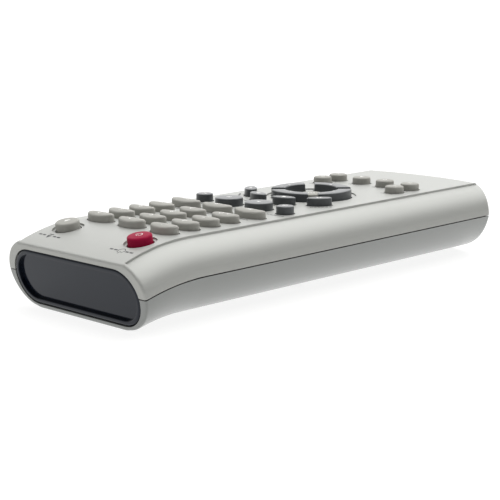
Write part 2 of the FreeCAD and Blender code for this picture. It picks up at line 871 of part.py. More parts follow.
def contacts():
    nose_y = row(tray_start)
    tail_y = nose_y + tray_length - plate_thickness
    keep("positive_contact", solid_of(contact_plate(-1, nose_y).fuse(contact_tab(-1, nose_y))))
    spring = contact_cone(1, nose_y + plate_thickness, 1)
    keep("negative_contact", solid_of(contact_plate(1, nose_y).fuse(contact_tab(1, nose_y))
                                      .fuse(spring)))
    x, z = cell_centre()
    link = box(-x - plate_width / 2.0, x + plate_width / 2.0, tail_y, tail_y + plate_thickness,
               z - plate_height / 2.0, z + plate_height / 2.0)
    keep("linked_contact", solid_of(link.fuse(contact_cone(-1, tail_y, -1))))


def case_screws():
    screws = []
    for x, y in screw_places():
        head = cylinder(screw_head_diameter, screw_head_height,
                        Vector(x, y, boss_seat - screw_head_height))
        length = board_top + screw_engagement - screw_clearance - boss_seat
        shank = cylinder(screw_diameter, length, Vector(x, y, boss_seat))
        screw = head.fuse(shank)
        half = screw_head_diameter / 2.0 - screw_slot_width
        thin = screw_slot_width / 2.0
        base = boss_seat - screw_head_height
        for wide, deep in ((half, thin), (thin, half)):
            screw = screw.cut(box(x - wide, x + wide, y - deep, y + deep,
                                  base - spare, base + screw_slot_depth))
        screws.append(solid_of(screw))
    return Part.makeCompound(screws)


def main():
    outer = outer_block()
    hollow = cavity()
    keep("upper_shell", upper_shell(outer, hollow))
    keep("lower_shell", lower_shell(outer, hollow))
    keep("battery_door", battery_door(outer))
    keep("ir_window", ir_window())
    keep("ir_led", ir_led())
    keep("circuit_board", circuit_board())
    keypad()
    keep("control_chip", control_chip())
    small_parts()
    keep("cell_1", make_cell(-1, True))
    keep("cell_2", make_cell(1, False))
    contacts()
    keep("case_screws", case_screws())
    make_keys()
    os.makedirs("parts", exist_ok=True)
    for name, shape in made.items():
        print(name, len(shape.Solids), shape.isValid(), round(shape.Volume, 2))
        shape.exportStep("parts/%s.step" % name)


main()
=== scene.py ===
import json
import math
import bmesh
import bpy
from bpy.props import FloatProperty, FloatVectorProperty, PointerProperty
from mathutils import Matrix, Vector


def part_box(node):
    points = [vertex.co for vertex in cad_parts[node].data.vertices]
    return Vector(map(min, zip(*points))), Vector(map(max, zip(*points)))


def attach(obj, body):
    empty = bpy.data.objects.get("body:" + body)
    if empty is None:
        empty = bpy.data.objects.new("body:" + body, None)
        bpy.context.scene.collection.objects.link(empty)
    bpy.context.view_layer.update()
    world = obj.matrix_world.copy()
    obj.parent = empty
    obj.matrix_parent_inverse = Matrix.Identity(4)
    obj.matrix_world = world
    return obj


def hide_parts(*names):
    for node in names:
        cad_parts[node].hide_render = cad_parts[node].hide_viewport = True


bl_info = {
    "name": "DVD player remote control",
    "version": (1, 0, 0),
    "blender": (4, 5, 0),
    "location": "3D View > Sidebar > Remote",
    "description": "Keys, marks, cells, contacts and finishes for the packed remote control",
    "category": "Object",
}

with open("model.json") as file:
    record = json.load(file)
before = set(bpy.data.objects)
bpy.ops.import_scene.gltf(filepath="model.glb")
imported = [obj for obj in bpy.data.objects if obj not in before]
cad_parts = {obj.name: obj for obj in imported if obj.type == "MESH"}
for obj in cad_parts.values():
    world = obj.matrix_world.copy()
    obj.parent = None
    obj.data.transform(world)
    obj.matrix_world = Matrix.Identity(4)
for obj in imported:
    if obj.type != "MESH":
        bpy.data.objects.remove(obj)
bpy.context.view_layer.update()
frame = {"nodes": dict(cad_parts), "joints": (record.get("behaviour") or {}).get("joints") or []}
cad = frame["nodes"]
joint_axes = {joint["child"]: Vector(joint["axis"]) for joint in frame["joints"]}
seats = {}

MM = 0.001
# The seam between the shells: its height, where the nose starts to bend it down, the radius of
# that bend, its share of it, and how much further the leaning nose holds the seam than its y
SEAM_HEIGHT = 12.7 * MM
NOSE_START = -53.25 * MM
NOSE_RADIUS = 61.036 * MM
SEAM_SHARE = 0.6905
NOSE_LEAN = 1.095
# From the seam down to where the painted shade on the lower shell's edge begins
SEAM_EDGE = 0.13 * MM
# Edges that turn more than this stay sharp
SHARP_ANGLE = math.radians(35.0)
# Points of a mesh lie on one level when they are this near to it
SAME_LEVEL = 0.002 * MM
# A key cap: how far its sides lean in, how much of a quarter turn its rounded edge takes, the
# steps of that edge, and where its crowned top has loops, as shares of the way out to the edge
CAP_DRAFT = 0.04 * MM
EDGE_TURN = math.radians(78.0)
EDGE_STEPS = 6
CROWN_SHARES = (0.85, 0.7, 0.5, 0.3, 0.1)
RING_SHARES = (0.3, 0.6, 0.85, 0.97)
# Width of a material's faint clouds, in grains
CLOUD_GRAINS = 30.0
# The flat spring steel of the contacts, and how high it stands at the cells
PLATE_THICKNESS = 0.5 * MM
PLATE_HEIGHT = 9.0 * MM
# Where the studio's light comes from: overhead, low behind the object, and before the nose
OVERHEAD = (0.12, 0.42, 0.9)
BEHIND = (-0.69, 0.70, 0.15)
BEFORE = (-0.30, -0.75, 0.59)
# Width of the camera's sensor, which Blender takes in millimetres
SENSOR_WIDTH = 36.0
NUMBER_SIGNS = (("1", "2", "3"), ("4", "5", "6"), ("7", "8", "9"), ("+10", "0", "-"))


def linear(code):
    """Linear colour with full alpha from an sRGB hex code."""
    shares = [int(code[start:start + 2], 16) / 255.0 for start in (1, 3, 5)]
    curve = [share / 12.92 if share <= 0.04045 else ((share + 0.055) / 1.055) ** 2.4
             for share in shares]
    return tuple(curve) + (1.0,)


def length_setting(name, description, millimetres):
    return FloatProperty(name=name, description=description, default=millimetres * MM,
                         min=0.0, unit="LENGTH", precision=5)


def angle_setting(name, description, degrees):
    return FloatProperty(name=name, description=description, default=math.radians(degrees),
                         subtype="ANGLE")


def number_setting(name, description, value):
    return FloatProperty(name=name, description=description, default=value)


def colour_setting(name, description, code):
    return FloatVectorProperty(name=name, description=description, default=linear(code),
                               size=4, min=0.0, max=1.0, subtype="COLOR")


class KeySettings(bpy.types.PropertyGroup):
    """Shapes of the key caps and of their marks."""
    light_edge: length_setting("Light edge", "Radius round the top of a light key", 0.5)
    light_crown: length_setting("Light crown", "Rise of a light key's top", 0.1)
    oval_fall: length_setting("Oval fall", "Drop of a number key's top to front and back", 0.4)
    dark_edge: length_setting("Dark edge", "Radius round the top of a dark key", 0.35)
    dark_crown: length_setting("Dark crown", "Rise of a dark key's top", 0.06)
    nose_edge: length_setting("Nose key edge", "Radius round the top of a nose key", 0.55)
    nose_crown: length_setting("Nose key crown", "Rise of a nose key's top", 0.12)
    digit_size: length_setting("Digit size", "Size of the type on the number keys", 2.7)
    sign_scale: number_setting("Sign scale", "Size of the key signs", 0.85)
    ink_height: length_setting("Ink", "Thickness of a printed mark above its surface", 0.02)
    ink_root: length_setting("Ink root", "How far a mark reaches into its surface", 0.06)
    print_gap: length_setting("Print gap", "From a key's edge to the middle of its print", 1.5)
    tail_print_gap: length_setting("Tail print gap", "The same at the tail keys", 0.92)
    nose_print_gap: length_setting("Nose print gap", "The same at the nose keys", 2.8)
    light_colour: colour_setting("Light keys", "Colour of the light keys", "#A3A29C")
    dark_colour: colour_setting("Dark keys", "Colour of the dark keys", "#494C4E")
    red_colour: colour_setting("Power key", "Colour of the power key", "#951338")
    mark_colour: colour_setting("Key marks", "Colour of the marks on the keys", "#E4E4E0")
    print_colour: colour_setting("Deck prints", "Colour of the prints beside the keys", "#2E2F31")


class CaseSettings(bpy.types.PropertyGroup):
    """Colours of the case and its window."""
    upper_colour: colour_setting("Upper shell", "Paint on the upper shell", "#A8A9A5")
    lower_colour: colour_setting("Lower shell", "Plastic of the lower shell", "#787B78")
    # Painted shade: this dark colour on the lower shell's edge stands in for shade in the seam's
    # gap
    seam_shade_colour: colour_setting("Seam", "Dust and shade in the seam", "#1C1C1B")
    window_colour: colour_setting("Window", "Infrared filter plastic", "#0B1019")


class PowerSettings(bpy.types.PropertyGroup):
    """The coiled contacts and the cells."""
    wire: length_setting("Spring wire", "Diameter of the coiled contacts' wire", 0.6)
    jacket_colour: colour_setting("Cell jacket", "Jacket of the cells", "#26343F")
    band_colour: colour_setting("Cell band", "Band at the cells' positive end", "#B9BDBF")


class StageSettings(bpy.types.PropertyGroup):
    """Camera and light, as in the photograph."""
    azimuth: angle_setting("Azimuth", "Camera's angle round from the nose", 44.72)
    elevation: angle_setting("Elevation", "Camera's angle above the table", 11.368)
    roll: angle_setting("Roll", "Camera's lean", -0.271)
    distance: length_setting("Distance", "From the camera to its aim", 333.85)
    lens: number_setting("Lens", "Focal length in mm on a 36 mm sensor", 98.66)
    aim: FloatVectorProperty(name="Aim", description="Point that the camera looks at",
                             default=(45.717 * MM, -55.05 * MM, 22.3 * MM),
                             subtype="TRANSLATION")
    floor_colour: colour_setting("Floor", "Pale studio floor", "#747472")
    floor_glow: number_setting("Floor glow", "Light that comes up through the floor", 0.86)
    softbox: number_setting("Softbox", "Brightness of the light overhead", 3.25)
    backdrop: number_setting("Backdrop", "Brightness low behind the object", 1.7)
    fill: number_setting("Fill", "Brightness in front of the nose", 0.45)
    room: number_setting("Room", "Brightness low on the camera's side", 0.03)


# Shaders
def add_node(tree, kind, options=None, inputs=None):
    """Add a node with its settings. An input's value is a number, a colour or a socket."""
    made = tree.nodes.new(kind)
    for name, value in (options or {}).items():
        setattr(made, name, value)
    for name, value in (inputs or {}).items():
        if isinstance(value, bpy.types.NodeSocket):
            tree.links.new(value, made.inputs[name])
        else:
            made.inputs[name].default_value = value
    return made


def shaded(colour, share):
    return tuple(min(1.0, part * share) for part in colour[:3]) + (1.0,)


def moulded(name, colour, roughness, grain, relief, cloud, **shader):
    """A moulded or sprayed surface: fine grain of a real size, and faint clouds in its tone.

    The grain's width and its relief are in millimetres, and cloud is a share of the colour.
    """
    material = bpy.data.materials.new(name)
    material.use_nodes = True
    material.diffuse_color = colour
    tree = material.node_tree
    tree.nodes.clear()
    place = add_node(tree, "ShaderNodeTexCoord").outputs["Object"]
    fine = add_node(tree, "ShaderNodeTexNoise", inputs={
        "Vector": place, "Scale": 1.0 / (grain * MM), "Detail": 2.0, "Roughness": 0.5})
    broad = add_node(tree, "ShaderNodeTexNoise", inputs={
        "Vector": place, "Scale": 1.0 / (CLOUD_GRAINS * grain * MM), "Detail": 3.0})
    tone = add_node(tree, "ShaderNodeMath", {"operation": "ADD"}, {
        0: fine.outputs["Fac"], 1: broad.outputs["Fac"]})
    share = add_node(tree, "ShaderNodeMapRange", inputs={
        "Value": tone.outputs[0], "From Min": 0.6, "From Max": 1.4})
    tint = add_node(tree, "ShaderNodeMix", {"data_type": "RGBA"}, {
        0: share.outputs[0], 6: shaded(colour, 1.0 - cloud), 7: shaded(colour, 1.0 + cloud)})
    spread = 0.03
    gloss = add_node(tree, "ShaderNodeMapRange", inputs={
        "Value": fine.outputs["Fac"], "From Min": 0.3, "From Max": 0.7,
        "To Min": roughness - spread, "To Max": roughness + spread})
    bump = add_node(tree, "ShaderNodeBump", inputs={
        "Strength": 1.0, "Distance": relief * MM, "Height": fine.outputs["Fac"]})
    inputs = {"Base Color": tint.outputs[2], "Roughness": gloss.outputs[0],
              "Normal": bump.outputs[0]}
    inputs.update(shader)
    surface = add_node(tree, "ShaderNodeBsdfPrincipled", inputs=inputs)
    add_node(tree, "ShaderNodeOutputMaterial", inputs={"Surface": surface.outputs[0]})
    return material


def paint_seam_shade(material, colour):
    """Painted shade: the lower shell's edge, which only shows through the seam, is coloured dark
    so that the gap looks darker.
    """
    tree = material.node_tree
    surface = next(node for node in tree.nodes if node.type == "BSDF_PRINCIPLED")
    paint = surface.inputs["Base Color"].links[0].from_socket
    place = add_node(tree, "ShaderNodeTexCoord").outputs["Object"]
    parts = add_node(tree, "ShaderNodeSeparateXYZ", inputs={0: place})
    # The seam's height is SEAM_HEIGHT less its share of the bend. The bend is NOSE_RADIUS less
    # the root of NOSE_RADIUS squared less the depth squared.
    edge = parts.outputs["Y"]
    for operation, place_of_value, others in (
            ("SUBTRACT", 1, {0: NOSE_START}), ("MAXIMUM", 0, {1: 0.0}),
            ("MULTIPLY", 0, {1: NOSE_LEAN}), ("POWER", 0, {1: 2.0}),
            ("SUBTRACT", 1, {0: NOSE_RADIUS ** 2}), ("SQRT", 0, {}),
            ("MULTIPLY_ADD", 0, {1: SEAM_SHARE,
                                 2: SEAM_HEIGHT - SEAM_EDGE - NOSE_RADIUS * SEAM_SHARE})):
        edge = add_node(tree, "ShaderNodeMath", {"operation": operation},
                        {place_of_value: edge, **others}).outputs[0]
    # Painted shade: above the seam's edge the lower shell takes the dark seam colour
    above = add_node(tree, "ShaderNodeMath", {"operation": "GREATER_THAN"}, {
        0: parts.outputs["Z"], 1: edge})
    mixed = add_node(tree, "ShaderNodeMix", {"data_type": "RGBA"}, {
        0: above.outputs[0], 6: paint, 7: colour})
    tree.links.new(mixed.outputs[2], surface.inputs["Base Color"])


def make_materials():
    """Every finish, made once and kept by name."""
    keys = bpy.context.scene.remote_keys
    case = bpy.context.scene.remote_case
    power = bpy.context.scene.remote_power
    # Satin silver-grey lacquer on ABS: a fine metal flake, drawn about three times its real
    # size so that it shows, gives the shoulders their long soft fall from light to dark.
    moulded("satin_lacquer_on_abs", case.upper_colour, 0.5, 0.15, 0.004, 0.012,
            Metallic=0.36)
    # Moulded ABS of the lower shell: grey without flake, its spark-eroded fine texture under a
    # satin clear coat that picks up the bright table towards the bottom of the belly.
    shell = moulded("moulded_grey_abs", case.lower_colour, 0.45, 0.2, 0.006, 0.015,
                    **{"Coat Weight": 1.0, "Coat Roughness": 0.25})
    # Painted shade in the seam, coloured onto the lower shell's edge
    paint_seam_shade(shell, case.seam_shade_colour)
    # Polished infrared filter acrylic: almost black, with a cool mirror of the studio floor.
    moulded("polished_filter_acrylic", case.window_colour, 0.14, 0.5, 0.001, 0.03,
            **{"IOR": 1.49, "Specular IOR Level": 0.34, "Specular Tint": linear("#ECF3FF")})
    # Light grey silicone-backed keycaps, matt: soft, slightly warm, without any sparkle.
    moulded("matt_grey_keycap", keys.light_colour, 0.68, 0.12, 0.004, 0.02,
            **{"Specular IOR Level": 0.2})
    # Charcoal keycaps, matt ABS: dark flanks, tops that turn pale at a low angle.
    moulded("matt_charcoal_keycap", keys.dark_colour, 0.34, 0.12, 0.003, 0.03)
    # Deep red keycap, ABS coloured through: satin, so that the red stays deep in bright light.
    moulded("satin_red_keycap", keys.red_colour, 0.5, 0.12, 0.003, 0.02,
            **{"Specular IOR Level": 0.05})
    # Pad-printed inks: flat and matt, a little uneven where the pad lifted.
    moulded("white_pad_print", keys.mark_colour, 0.55, 0.1, 0.002, 0.03)
    moulded("dark_pad_print", keys.print_colour, 0.55, 0.1, 0.002, 0.06)
    # Compression-moulded silicone keypad: dull, with a dusty bloom.
    moulded("moulded_silicone", linear("#8E908E"), 0.62, 0.2, 0.006, 0.04,
            **{"Sheen Weight": 0.2})
    # Carbon-filled silicone pills: dead black and dull.
    moulded("carbon_silicone", linear("#161616"), 0.75, 0.1, 0.006, 0.08)
    # Phenolic paper laminate: brown, with strong clouds where the paper's fibres show through.
    moulded("phenolic_paper_laminate", linear("#9A6B38"), 0.45, 0.25, 0.004, 0.14,
            **{"Coat Weight": 0.3, "Coat Roughness": 0.25})
    # Transfer-moulded epoxy of the chip and transistor: black with a fine matt grain.
    moulded("moulded_black_epoxy", linear("#232426"), 0.55, 0.12, 0.008, 0.08)
    # Resin-dipped ceramic: orange, glossy, with a slight orange peel.
    moulded("dipped_orange_resin", linear("#C0691C"), 0.22, 0.5, 0.01, 0.05)
    # Shrunk PVC sleeve: dark blue and glossy.
    moulded("shrunk_blue_sleeve", linear("#1B2444"), 0.3, 0.4, 0.003, 0.05)
    # Etched aluminium of the capacitor's can.
    moulded("etched_aluminium", linear("#C9CACB"), 0.34, 0.15, 0.003, 0.04, Metallic=1.0)
    # Printed plastic jacket of the cells, glossy, and its pale band.
    moulded("printed_cell_jacket", power.jacket_colour, 0.28, 0.3, 0.002, 0.04,
            **{"Coat Weight": 0.5, "Coat Roughness": 0.12})
    moulded("printed_cell_band", power.band_colour, 0.3, 0.3, 0.002, 0.03,
            **{"Metallic": 0.6, "Coat Weight": 0.5, "Coat Roughness": 0.12})
    # Drawn and nickel-plated steel: bright and a little uneven.
    moulded("nickel_plated_steel", linear("#BDB8AE"), 0.24, 0.12, 0.003, 0.05, Metallic=1.0)
    # Zinc-plated screws, rolled and tumbled: duller and bluish.
    moulded("zinc_plated_steel", linear("#9B9FA4"), 0.36, 0.15, 0.006, 0.08, Metallic=1.0)
    # Tinned leads of chip, transistor and light source.
    moulded("tinned_copper", linear("#C8C6C0"), 0.3, 0.1, 0.004, 0.05, Metallic=1.0)
    # Cast clear epoxy of the infrared source, tinted blue.
    moulded("cast_blue_epoxy", linear("#7C90B4"), 0.08, 0.5, 0.001, 0.03,
            **{"Transmission Weight": 0.6, "IOR": 1.54})


def dress(obj, *names):
    """Give an object these finishes instead of what it came with."""
    obj.data.materials.clear()
    for name in names:
        obj.data.materials.append(bpy.data.materials[name])


# Meshes
def finish_mesh(name, bm):
    """Turn a bmesh into a linked object with smooth faces and sharp edges kept."""
    bmesh.ops.recalc_face_normals(bm, faces=bm.faces)
    mesh = bpy.data.meshes.new(name)
    bm.to_mesh(mesh)
    bm.free()
    mesh.shade_smooth()
    mesh.set_sharp_from_angle(angle=SHARP_ANGLE)
    obj = bpy.data.objects.new(name, mesh)
    bpy.context.scene.collection.objects.link(obj)
    return obj


def add_piece(name, bm, body, *finishes):
    """A piece that rides on a body."""
    obj = finish_mesh(name, bm)
    dress(obj, *finishes)
    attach(obj, body)
    return obj


def stand_in(name, bm, node, body, slot, *finishes):
    """A piece that rides on a body in the place of a node."""
    obj = add_piece(name, bm, body, *finishes)
    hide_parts(node)


def add_loft(bm, loops, material=0):
    """Closed skin through loops of equal length. Returns its faces, loop by loop."""
    rings = [[bm.verts.new(point) for point in loop] for loop in loops]
    count = len(rings[0])
    made = [[bm.faces.new(reversed(rings[0]))]]
    for low, high in zip(rings, rings[1:]):
        made.append([bm.faces.new((low[i], low[(i + 1) % count], high[(i + 1) % count], high[i]))
                     for i in range(count)])
    made.append([bm.faces.new(rings[-1])])
    for band in made:
        for face in band:
            face.material_index = material
    return made


def circle(radius, count):
    return [(radius * math.cos(2.0 * math.pi * i / count),
             radius * math.sin(2.0 * math.pi * i / count)) for i in range(count)]


def add_lathe(bm, profile, origin, axis, count=48):
    """Turn a profile of (radius, height, material) round an axis."""
    axis = axis.normalized()
    side = axis.orthogonal().normalized()
    other = axis.cross(side)
    loops = [[origin + side * u + other * v + axis * height for u, v in circle(radius, count)]
             for radius, height, _ in profile]
    bands = add_loft(bm, loops)
    for band, (_, _, material) in zip(bands, profile):
        for face in band:
            face.material_index = material
    for face in bands[-1]:
        face.material_index = profile[-1][2]


def add_block(bm, low, high, bevel, material=0):
    """A box between two corners with all its edges bevelled."""
    made = bmesh.ops.create_cube(bm, size=1.0)["verts"]
    size = high - low
    centre = (high + low) / 2.0
    for vertex in made:
        vertex.co = Vector([vertex.co[i] * size[i] + centre[i] for i in range(3)])
        for face in vertex.link_faces:
            face.material_index = material
    if bevel:
        # A dict names each edge once and keeps them in the same order in each run
        edges = list(dict.fromkeys(edge for vertex in made for edge in vertex.link_edges))
        bmesh.ops.bevel(bm, geom=edges, offset=bevel, segments=2, profile=0.5,
                        affect="EDGES", material=material)


def add_tube(bm, path, radius, count=12, material=0):
    """A round wire along a path of points."""
    loops = []
    side = None
    for i, point in enumerate(path):
        ahead = path[min(i + 1, len(path) - 1)] - path[max(i - 1, 0)]
        ahead.normalize()
        side = ahead.orthogonal() if side is None else side - ahead * side.dot(ahead)
        side.normalize()
        other = ahead.cross(side)
        loops.append([point + side * u + other * v for u, v in circle(radius, count)])
    add_loft(bm, loops, material)


# Keys, measured on their CAD nodes and rebuilt with crowned tops
class Seat:
    """A key's own axes, origin and outline, measured along its press axis."""

    def __init__(self, name, turn=0.0, origin=None):
        self.up = -joint_axes[name]
        right = Vector((-1.0, 0.0, 0.0))
        ahead = self.up.cross(right)
        self.right = right * math.cos(turn) + ahead * math.sin(turn)
        self.ahead = self.up.cross(self.right)
        points = [vertex.co for vertex in cad[name].data.vertices]
        heights = [point.dot(self.up) for point in points]
        levels = sorted({round(height, 6) for height in heights})
        self.plunger, self.flange, self.shelf, self.side = levels[:4]
        self.top = levels[-1]
        self.flat = [[(point.dot(self.right), point.dot(self.ahead)) for point, height
                      in zip(points, heights) if abs(height - level) < SAME_LEVEL]
                     for level in (self.plunger, self.flange, self.side)]
        if origin is None:
            across = [point[0] for point in self.flat[1]]
            along = [point[1] for point in self.flat[1]]
            origin = (self.right * (max(across) + min(across)) / 2.0
                      + self.ahead * (max(along) + min(along)) / 2.0)
        self.origin = origin - self.up * origin.dot(self.up)
        self.fall = 0.0

    def local(self, level):
        """Outline points of a level, seen from the key's own origin."""
        u, v = self.origin.dot(self.right), self.origin.dot(self.ahead)
        return [(point[0] - u, point[1] - v) for point in self.flat[level]]

    def at(self, u, v, height):
        return self.origin + self.right * u + self.ahead * v + self.up * height

    def lowered(self, v, height):
        """A height above the flange once the top falls off to front and back."""
        if not self.fall or height <= self.shelf:
            return height
        share = self.fall * (v / self.cap[1]) ** 2 / (self.top - self.shelf)
        return height - (height - self.shelf) * share


def side_levels(seat, plunger, flange, edge, crown):
    """A key's plunger, flange, drafted side and rounded edge, as growths of the cap's outline
    and their heights."""
    rim = seat.top - crown
    levels = [(plunger, seat.plunger), (plunger, seat.flange), (flange, seat.flange),
              (flange, seat.shelf), (0.0, seat.shelf), (-CAP_DRAFT, rim - edge)]
    for step in range(1, EDGE_STEPS + 1):
        angle = EDGE_TURN * step / EDGE_STEPS
        levels.append((-CAP_DRAFT - edge * (1.0 - math.cos(angle)),
                       rim - edge * (1.0 - math.sin(angle))))
    return levels


def build_key(name, seat, loops, finish, slot):
    """A key's skin through its outlines at their heights, in the place of its node."""
    bm = bmesh.new()
    add_loft(bm, [[seat.at(u, v, seat.lowered(v, height)) for u, v in outline]
                  for outline, height in loops])
    stand_in("cap_" + name, bm, name, name, slot, finish)


def oval_key(name, edge, crown, finish, slot, turn=0.0, fall=0.0):
    """A round or oval key. Returns its seat and the height of its top at any point."""
    seat = seats[name] = Seat(name, turn)
    seat.fall = fall
    spans = [(max(abs(u) for u, v in seat.local(level)), max(abs(v) for u, v in seat.local(level)))
             for level in range(3)]
    cap = seat.cap = spans[2]

    def outline(growth, share=1.0):
        return [(u * (cap[0] + growth) * share, v * (cap[1] + growth) * share)
                for u, v in circle(1.0, 56)]

    levels = side_levels(seat, spans[0][0] - cap[0], spans[1][0] - cap[0], edge, crown)
    loops = [(outline(growth), height) for growth, height in levels]
    growth, rim = levels[-1]
    loops += [(outline(growth, share), rim + (seat.top - rim) * (1.0 - share ** 2))
              for share in CROWN_SHARES]
    build_key(name, seat, loops, finish, slot)

    def top(u, v):
        share = min(1.0, (u / (cap[0] + growth)) ** 2 + (v / (cap[1] + growth)) ** 2)
        return seat.lowered(v, rim + (seat.top - rim) * (1.0 - share))
    return seat, top


def light_key(name, sizes, fall=0.0):
    return oval_key(name, sizes.light_edge, sizes.light_crown, "matt_grey_keycap", "key_light",
                    fall=fall)


def ring_key(name, facing, centre, edge, crown, finish, slot):
    """A quarter of the direction ring, whose ends run beside the gaps. Returns what oval_key
    returns."""
    seat = Seat(name, facing, centre)
    spans = []
    for level in range(3):
        points = seat.local(level)
        distances = [math.hypot(u, v) for u, v in points]
        half_gap = min((v - abs(u)) / math.sqrt(2.0) for u, v in points)
        spans.append((max(distances), min(distances), half_gap))
    outer, inner, gap = spans[2]

    def arc(radius, half_gap, count):
        turn = math.pi / 4.0 - math.asin(half_gap / radius)
        return [(radius * math.sin(turn * (2.0 * i / count - 1.0)),
                 radius * math.cos(turn * (2.0 * i / count - 1.0))) for i in range(count + 1)]

    def outline(growth):
        outside = arc(outer + growth, gap - growth, 32)
        inside = arc(inner - growth, gap - growth, 24)
        return inside + outside[::-1]

    levels = side_levels(seat, spans[0][0] - outer, spans[1][0] - outer, edge, crown)
    growth, rim = levels[-1]
    room = (outer - inner) / 2.0 + growth
    levels += [(growth - room * share, rim + (seat.top - rim) * (1.0 - (1.0 - share) ** 2))
               for share in RING_SHARES]
    build_key(name, seat, [(outline(grown), height) for grown, height in levels], finish, slot)

    def top(u, v):
        share = min(1.0, abs(math.hypot(u, v) - (outer + inner) / 2.0) / room)
        return rim + (seat.top - rim) * (1.0 - share ** 2)
    return seat, top


# Marks, drawn in millimetres with the user's right at +u and the nose at +v
def bar(u, v, width, height):
    return [(u - width / 2.0, v - height / 2.0), (u + width / 2.0, v - height / 2.0),
            (u + width / 2.0, v + height / 2.0), (u - width / 2.0, v + height / 2.0)]


def triangle(u, v, size, facing):
    reach = size * 0.62
    return [(u + reach * math.cos(math.radians(facing + turn)),
             v + reach * math.sin(math.radians(facing + turn))) for turn in (0, 120, 240)]


def arc_band(radius, width, start, end):
    steps = 20
    turns = [math.radians(start + (end - start) * i / steps) for i in range(steps + 1)]
    outer, inner = [[(reach * math.cos(turn), reach * math.sin(turn)) for turn in turns]
                    for reach in (radius, radius - width)]
    return outer + inner[::-1]


SIGNS = {
    "open_key": [triangle(0.0, 0.25, 1.5, 90), bar(0.0, -0.75, 1.6, 0.35)],
    "power_key": [arc_band(1.1, 0.2, -235, 55), bar(0.0, 0.75, 0.2, 1.1)],
    "menu_key_1": [bar(0.0, 0.6, 2.0, 0.3), bar(0.0, 0.0, 2.0, 0.3), bar(0.0, -0.6, 2.0, 0.3)],
    "menu_key_2": [arc_band(0.9, 0.3, 0, 350), bar(0.0, 0.0, 0.5, 0.5)],
    "menu_key_3": [bar(0.2, 0.0, 2.0, 0.3), triangle(-0.9, 0.0, 1.1, 180)],
    "play_key": [triangle(0.0, 0.0, 1.6, 0)],
    "pause_key": [bar(-0.45, 0.0, 0.45, 1.6), bar(0.45, 0.0, 0.45, 1.6)],
    "stop_key": [bar(0.0, 0.0, 1.4, 1.4)],
    "step_key": [bar(-0.8, 0.0, 0.4, 1.4), triangle(0.35, 0.0, 1.4, 0)],
    "skip_back_key": [triangle(0.6, 0.0, 1.3, 180), bar(-0.6, 0.0, 0.35, 1.3)],
    "skip_forward_key": [triangle(-0.6, 0.0, 1.3, 0), bar(0.6, 0.0, 0.35, 1.3)],
    "search_back_key": [triangle(-0.55, 0.0, 1.2, 180), triangle(0.6, 0.0, 1.2, 180)],
    "search_forward_key": [triangle(-0.6, 0.0, 1.2, 0), triangle(0.55, 0.0, 1.2, 0)],
    "enter_key": [arc_band(1.2, 0.22, 0, 350), bar(0.0, 0.0, 0.5, 0.5)],
    "tail_key_1": [bar(0.0, 0.0, 1.8, 0.35)],
    "tail_key_2": [bar(0.0, 0.0, 1.8, 0.35), bar(0.0, 0.0, 0.35, 1.8)],
    "tail_key_3": [bar(-0.5, 0.0, 0.35, 1.4), bar(0.5, 0.0, 0.35, 1.4)],
    "tail_key_4": [arc_band(0.8, 0.3, 0, 350)],
    "tail_key_5": [triangle(0.0, -0.1, 1.6, 90)],
    "tail_key_6": [bar(0.0, 0.45, 1.6, 0.3), bar(0.0, -0.45, 1.6, 0.3)],
}


def add_mark(bm, outlines, place, top, high, low):
    """Plates of ink with these outlines, lying on a surface whose height is top(u, v)."""
    for points in outlines:
        flat = [(u * MM, v * MM) for u, v in points]
        upper = [bm.verts.new(place(u, v, top(u, v) + high)) for u, v in flat]
        lower = [bm.verts.new(place(u, v, top(u, v) - low)) for u, v in flat]
        count = len(flat)
        bm.faces.new(upper)
        bm.faces.new(lower[::-1])
        for i in range(count):
            j = (i + 1) % count
            bm.faces.new((upper[j], upper[i], lower[i], lower[j]))


def key_mark(name, seat, top, outlines):
    """The white sign on a key's top."""
    sizes = bpy.context.scene.remote_keys
    bm = bmesh.new()
    scaled = [[(u * sizes.sign_scale, v * sizes.sign_scale) for u, v in points]
              for points in outlines]
    add_mark(bm, scaled, seat.at, top, sizes.ink_height, sizes.ink_root)
    add_piece("mark_" + name, bm, name, "white_pad_print")


def key_text(name, seat, top, text):
    """A number on a key's top, in Blender's own plain type."""
    sizes = bpy.context.scene.remote_keys
    curve = bpy.data.curves.new("type_" + name, "FONT")
    curve.body = text
    curve.size = sizes.digit_size
    curve.align_x = "CENTER"
    curve.align_y = "CENTER"
    curve.extrude = (sizes.ink_height + sizes.ink_root) / 2.0
    curve.resolution_u = 4
    writer = bpy.data.objects.new("type_" + name, curve)
    bpy.context.scene.collection.objects.link(writer)
    bpy.context.view_layer.update()
    mesh = bpy.data.meshes.new_from_object(writer)
    bpy.data.objects.remove(writer)
    bpy.data.curves.remove(curve)
    lift = (sizes.ink_height - sizes.ink_root) / 2.0
    bm = bmesh.new()
    bm.from_mesh(mesh)
    bpy.data.meshes.remove(mesh)
    bmesh.ops.remove_doubles(bm, verts=bm.verts, dist=1e-6)
    for vertex in bm.verts:
        u, v, depth = vertex.co
        vertex.co = seat.at(u, v, top(u, v) + lift + depth)
    add_piece("mark_" + name, bm, name, "white_pad_print")


def deck_top(x, y):
    """Height of the upper shell under a point of the plan."""
    above = Vector((x, y, 100.0 * MM))
    hit, place, _, _ = cad["upper_shell"].ray_cast(above, Vector((0.0, 0.0, -1.0)))
    if not hit:
        raise RuntimeError("no deck under a print at %.4f, %.4f" % (x, y))
    return place.z


